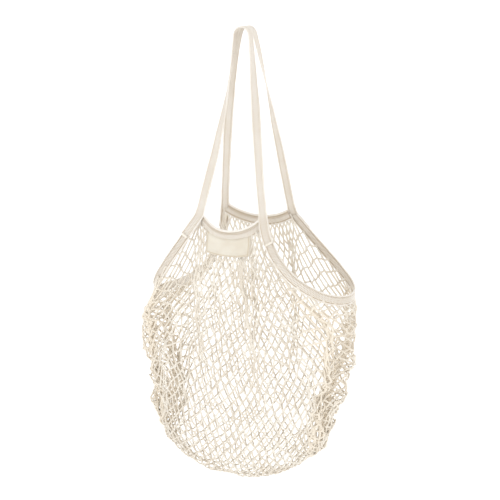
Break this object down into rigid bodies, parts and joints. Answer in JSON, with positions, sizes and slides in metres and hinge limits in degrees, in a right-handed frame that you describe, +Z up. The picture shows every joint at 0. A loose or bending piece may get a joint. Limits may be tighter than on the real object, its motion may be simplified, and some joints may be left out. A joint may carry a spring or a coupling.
{
  "type": "net shopping and produce bag",
  "caption": "Long-handled cotton net bag, hanging empty: knotted diamond netting gathered onto knitted tape bindings, with two looped tape handles and a blank sewn label.",
  "frame": {"origin": "point of the hook that carries both handles, at the underside of their crowns", "axes": "+Z up, +X along the front of the bag towards its right end, the front with the label faces -Y"},
  "size_m": [0.3562, 0.1466, 0.7009],
  "materials": {
    "net_cotton": "undyed twisted cotton cord",
    "tape_cotton": "undyed rib-knitted cotton tape",
    "sewing_thread": "matte cotton thread",
    "label_cotton": "plain-woven cotton"
  },
  "bodies": {
    "bag": {"net_body": "net_cotton", "bottom_closing_cord": "net_cotton", "front_edge_binding": "tape_cotton", "back_edge_binding": "tape_cotton", "left_side_binding": "tape_cotton", "right_side_binding": "tape_cotton", "front_edge_stitching": "sewing_thread", "back_edge_stitching": "sewing_thread", "left_side_stitching": "sewing_thread", "right_side_stitching": "sewing_thread", "front_left_tack": "sewing_thread", "front_right_tack": "sewing_thread", "back_left_tack": "sewing_thread", "back_right_tack": "sewing_thread", "label_patch": "label_cotton", "label_stitching": "sewing_thread"},
    "front_handle": {"front_handle_strap": "tape_cotton", "front_handle_stitching": "sewing_thread"},
    "back_handle": {"back_handle_strap": "tape_cotton", "back_handle_stitching": "sewing_thread"}
  },
  "joints": [
    {"name": "front_handle_swing", "type": "hinge", "parent": "bag", "child": "front_handle", "pos_m": [0, -0.047, -0.28], "axis": [1, 0, 0], "range_deg": [0, 120]},
    {"name": "back_handle_swing", "type": "hinge", "parent": "bag", "child": "back_handle", "pos_m": [0, 0.043, -0.28], "axis": [-1, 0, 0], "range_deg": [0, 120]}
  ]
}
